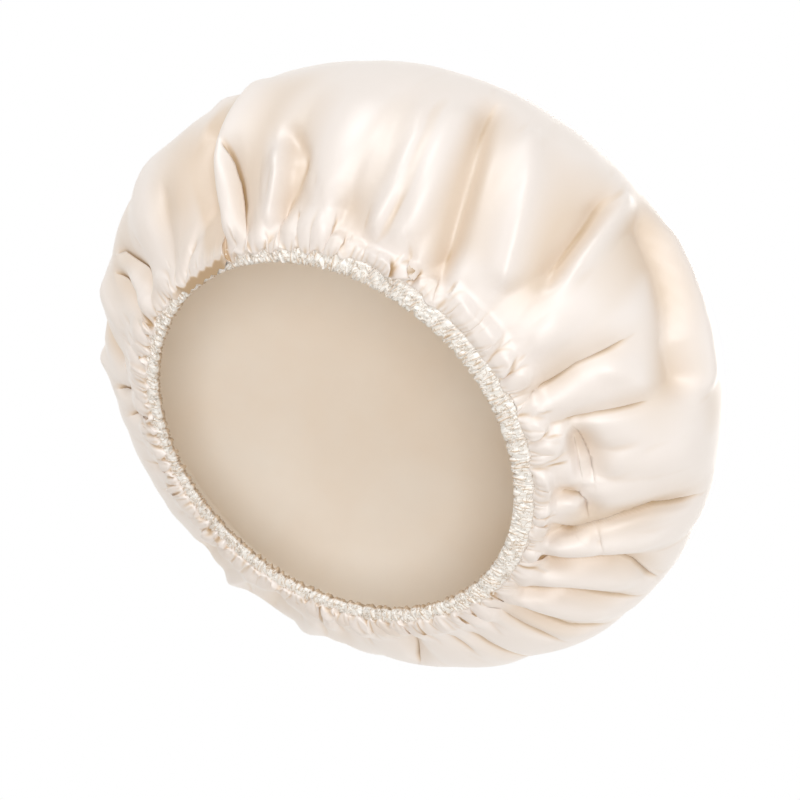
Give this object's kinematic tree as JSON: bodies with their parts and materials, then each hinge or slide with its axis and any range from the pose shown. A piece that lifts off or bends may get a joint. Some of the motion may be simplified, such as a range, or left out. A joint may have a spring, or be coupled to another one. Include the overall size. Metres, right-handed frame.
{
  "type": "bouffant shower cap",
  "caption": "Lined satin shower cap: a full round crown gathered to an elasticated, finely pleated casing round the head opening.",
  "frame": {"origin": "centre of the head opening, in the flat plane that the gathered rim stands on", "axes": "+Z out of the crown, square to the head opening; -Y is the side whose gathers face the viewer in the picture; +X completes a right-handed frame"},
  "size_m": [0.28, 0.28, 0.1251],
  "materials": {
    "satin": "satin",
    "lining_film": "matte",
    "elastic": "matte",
    "thread": "satin"
  },
  "bodies": {
    "root": {"outer_shell": "satin", "inner_lining": "lining_film", "rim_casing": "satin", "elastic_band": "elastic", "elastic_tack": "thread", "needle_thread": "thread", "bobbin_thread": "thread"}
  },
  "joints": []
}
